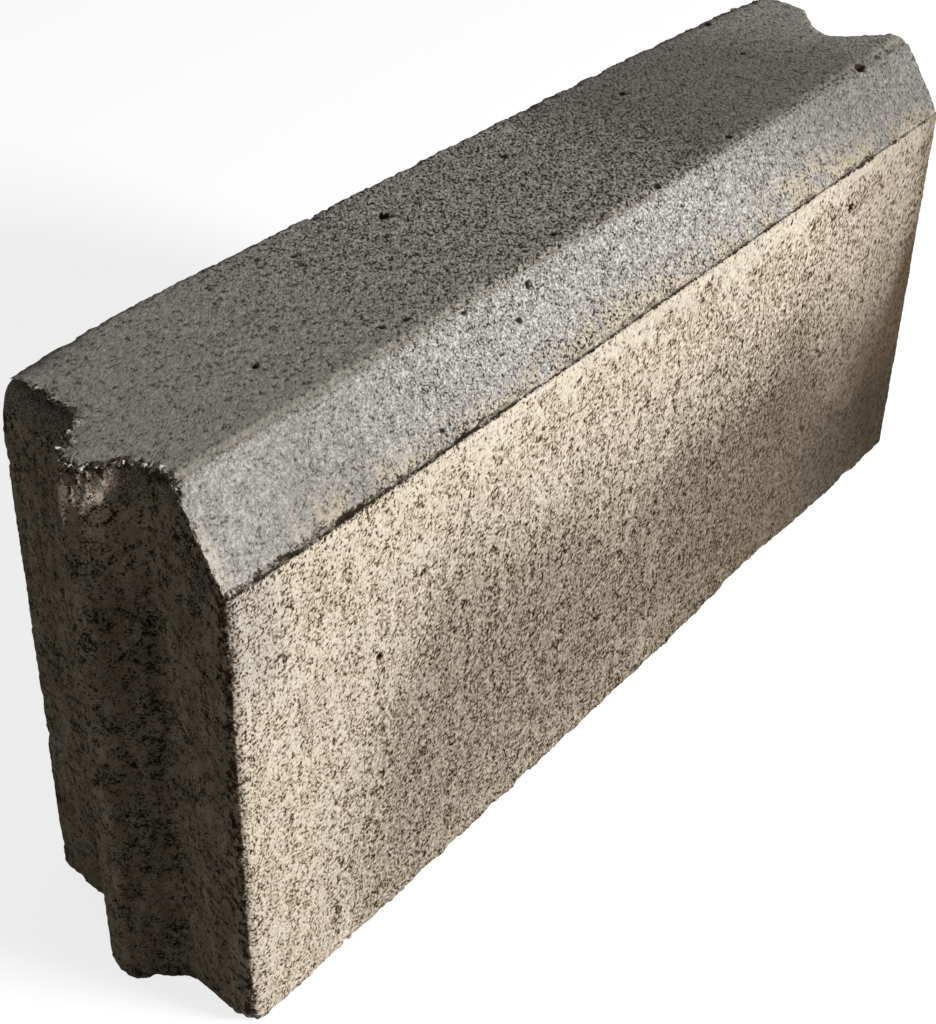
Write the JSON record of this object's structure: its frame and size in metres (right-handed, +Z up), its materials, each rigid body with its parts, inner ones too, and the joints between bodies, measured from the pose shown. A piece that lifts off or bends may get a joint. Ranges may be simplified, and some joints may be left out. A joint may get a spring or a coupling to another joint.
{
  "type": "kerb stone",
  "caption": "Straight concrete kerb stone with a chamfered front top edge, a tongue down one end and a groove down the other that key neighbouring stones together.",
  "frame": {"origin": "middle of the bed, halfway between the shoulders of the two ends and halfway through the thickness", "axes": "+X along the kerb from the tongue end to the groove end, -Y out of the chamfered front, +Z up"},
  "size_m": [0.517, 0.12, 0.25],
  "materials": {
    "concrete": "matte"
  },
  "bodies": {
    "root": {"kerb_stone": "concrete"}
  },
  "joints": []
}
